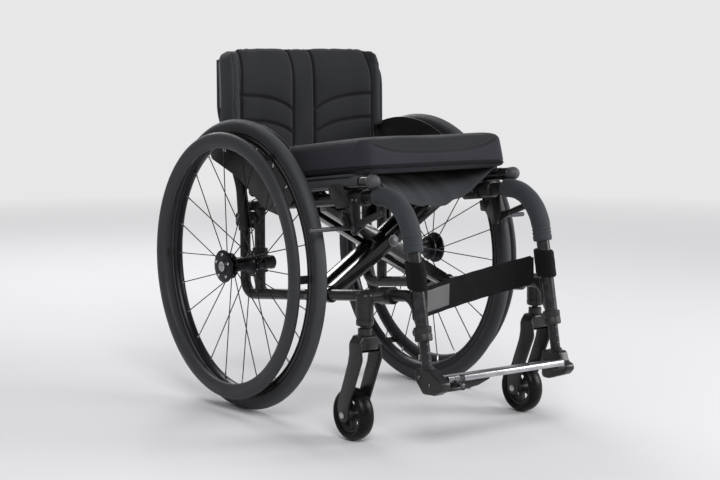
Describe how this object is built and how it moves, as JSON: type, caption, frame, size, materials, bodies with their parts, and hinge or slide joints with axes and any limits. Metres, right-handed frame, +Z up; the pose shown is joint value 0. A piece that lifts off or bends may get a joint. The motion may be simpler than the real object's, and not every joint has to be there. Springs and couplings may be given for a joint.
{
  "type": "folding active wheelchair",
  "caption": "Folding self-propelled wheelchair with slim spoked rear wheels, handrims, small front casters, a sling seat with a cushion, a low back and a one-piece footplate.",
  "frame": {"origin": "on the floor, under the middle of the chair's box", "axes": "+X to the occupant's left, +Y to the back of the chair, +Z up; the chair faces -Y"},
  "size_m": [0.561, 0.8674, 0.731],
  "materials": {
    "frame_black": "satin black paint",
    "rubber_black": "matte black foam or rubber",
    "tyre_black": "matte black tyre",
    "plastic_black": "matte black plastic",
    "fabric_black": "charcoal woven fabric",
    "footplate_alloy": "polished",
    "steel_dark": "turned steel"
  },
  "bodies": {
    "frame": {"right_side_frame": "frame_black", "right_leg_sleeve": "rubber_black", "right_foot_collar": "plastic_black", "right_rail_saddle": "plastic_black", "right_axle_clamp": "frame_black", "right_side_guard": "plastic_black", "right_back_cane": "frame_black", "right_brake_clamp": "frame_black", "right_caster_head": "frame_black", "back_upholstery": "fabric_black", "calf_strap": "fabric_black"},
    "cross_a": {"cross_frame_a": "frame_black", "cross_pivot": "steel_dark", "left_seat_rail": "frame_black", "left_rail_cap": "plastic_black"},
    "cross_b": {"cross_frame_b": "frame_black", "right_seat_rail": "frame_black", "right_rail_cap": "plastic_black"},
    "left_frame": {"left_side_frame": "frame_black", "left_leg_sleeve": "rubber_black", "left_foot_collar": "plastic_black", "left_rail_saddle": "plastic_black", "left_axle_clamp": "frame_black", "left_side_guard": "plastic_black", "left_back_cane": "frame_black", "left_brake_clamp": "frame_black", "left_caster_head": "frame_black"},
    "seat": {"seat_sling": "fabric_black"},
    "cushion": {"seat_cushion": "fabric_black"},
    "right_foot": {"right_foot_tube": "frame_black", "right_foot_bracket": "frame_black"},
    "left_foot": {"left_foot_tube": "frame_black", "left_foot_bracket": "frame_black"},
    "footplate": {"footplate": "footplate_alloy", "footplate_hinge": "frame_black"},
    "right_axle": {"right_axle": "steel_dark"},
    "right_button": {"right_release_button": "footplate_alloy"},
    "right_wheel": {"right_tyre": "tyre_black", "right_rim": "frame_black", "right_handrim": "frame_black", "right_hub": "frame_black"},
    "right_fork": {"right_caster_fork": "frame_black", "right_caster_axle": "steel_dark"},
    "right_caster": {"right_caster_tyre": "tyre_black", "right_caster_hub": "plastic_black"},
    "right_brake": {"right_brake_lever": "plastic_black"},
    "right_tip": {"right_brake_tip": "steel_dark"},
    "left_axle": {"left_axle": "steel_dark"},
    "left_button": {"left_release_button": "footplate_alloy"},
    "left_wheel": {"left_tyre": "tyre_black", "left_rim": "frame_black", "left_handrim": "frame_black", "left_hub": "frame_black"},
    "left_fork": {"left_caster_fork": "frame_black", "left_caster_axle": "steel_dark"},
    "left_caster": {"left_caster_tyre": "tyre_black", "left_caster_hub": "plastic_black"},
    "left_brake": {"left_brake_lever": "plastic_black"},
    "left_tip": {"left_brake_tip": "steel_dark"}
  },
  "joints": [
    {"name": "fold", "type": "hinge", "parent": "frame", "child": "cross_a", "pos_m": [-0.158, -0.10424, 0.256], "axis": [0, -0.9936, 0.1132], "range_deg": [0, 47], "deforming": ["back_upholstery", "calf_strap", "seat_sling", "seat_cushion"]},
    {"name": "cross_turn", "type": "hinge", "parent": "cross_a", "child": "cross_b", "pos_m": [0, -0.10424, 0.35155], "axis": [0, -0.9936, 0.1132], "range_deg": [-94, 0]},
    {"name": "left_close", "type": "hinge", "parent": "cross_b", "child": "left_frame", "pos_m": [0.158, -0.10424, 0.256], "axis": [0, -0.9936, 0.1132], "range_deg": [0, 47]},
    {"name": "seat_level", "type": "hinge", "parent": "cross_a", "child": "seat", "pos_m": [0.172, -0.10424, 0.47078], "axis": [0, -0.9936, 0.1132], "range_deg": [-47, 0]},
    {"name": "cushion_lift", "type": "slide", "parent": "seat", "child": "cushion", "axis": [0, 0.1132, 0.9936], "range_m": [0, 0.15]},
    {"name": "right_foot_height", "type": "slide", "parent": "frame", "child": "right_foot", "axis": [0, 0.1908, 0.9816], "range_m": [-0.045, 0.045]},
    {"name": "left_foot_height", "type": "slide", "parent": "left_frame", "child": "left_foot", "axis": [0, 0.1908, 0.9816], "range_m": [-0.045, 0.045]},
    {"name": "footplate_flip", "type": "hinge", "parent": "right_foot", "child": "footplate", "pos_m": [-0.1175, -0.40201, 0.12077], "axis": [0, -0.9816, 0.1908], "range_deg": [0, 90]},
    {"name": "right_wheel_release", "type": "slide", "parent": "frame", "child": "right_axle", "axis": [-1, 0, 0], "range_m": [0, 0.12]},
    {"name": "right_wheel_spin", "type": "hinge", "parent": "right_axle", "child": "right_wheel", "pos_m": [-0.231, 0.13876, 0.295], "axis": [1, 0, 0], "continuous": true},
    {"name": "right_button_press", "type": "slide", "parent": "right_axle", "child": "right_button", "axis": [1, 0, 0], "range_m": [0, 0.004], "stiffness_N_per_m": 500},
    {"name": "right_caster_swivel", "type": "hinge", "parent": "frame", "child": "right_fork", "pos_m": [-0.211, -0.25824, 0.2], "axis": [0, 0, 1], "continuous": true},
    {"name": "right_caster_spin", "type": "hinge", "parent": "right_fork", "child": "right_caster", "pos_m": [-0.211, -0.22224, 0.05], "axis": [1, 0, 0], "continuous": true},
    {"name": "right_brake_lever", "type": "hinge", "parent": "frame", "child": "right_brake", "pos_m": [-0.1788, -0.17924, 0.392], "axis": [1, 0, 0], "range_deg": [0, 60]},
    {"name": "right_brake_tip", "type": "hinge", "parent": "frame", "child": "right_tip", "pos_m": [-0.1788, -0.14224, 0.415], "axis": [1, 0, 0], "range_deg": [0, 28.4]},
    {"name": "left_wheel_release", "type": "slide", "parent": "left_frame", "child": "left_axle", "axis": [1, 0, 0], "range_m": [0, 0.12]},
    {"name": "left_wheel_spin", "type": "hinge", "parent": "left_axle", "child": "left_wheel", "pos_m": [0.231, 0.13876, 0.295], "axis": [1, 0, 0], "continuous": true},
    {"name": "left_button_press", "type": "slide", "parent": "left_axle", "child": "left_button", "axis": [-1, 0, 0], "range_m": [0, 0.004], "stiffness_N_per_m": 500},
    {"name": "left_caster_swivel", "type": "hinge", "parent": "left_frame", "child": "left_fork", "pos_m": [0.211, -0.25824, 0.2], "axis": [0, 0, 1], "continuous": true},
    {"name": "left_caster_spin", "type": "hinge", "parent": "left_fork", "child": "left_caster", "pos_m": [0.211, -0.22224, 0.05], "axis": [1, 0, 0], "continuous": true},
    {"name": "left_brake_lever", "type": "hinge", "parent": "left_frame", "child": "left_brake", "pos_m": [0.1788, -0.17924, 0.392], "axis": [1, 0, 0], "range_deg": [0, 60]},
    {"name": "left_brake_tip", "type": "hinge", "parent": "left_frame", "child": "left_tip", "pos_m": [0.1788, -0.14224, 0.415], "axis": [1, 0, 0], "range_deg": [0, 28.4]}
  ],
  "couplings": [
    {"joint": "cross_turn", "follows": "fold", "ratio": -2},
    {"joint": "left_close", "follows": "fold", "ratio": 1},
    {"joint": "seat_level", "follows": "fold", "ratio": -1},
    {"joint": "footplate_flip", "follows": "fold", "ratio": 1.9148},
    {"joint": "left_foot_height", "follows": "right_foot_height", "ratio": 1},
    {"joint": "right_brake_tip", "follows": "right_brake_lever", "ratio": 0.473},
    {"joint": "left_brake_tip", "follows": "left_brake_lever", "ratio": 0.473}
  ]
}
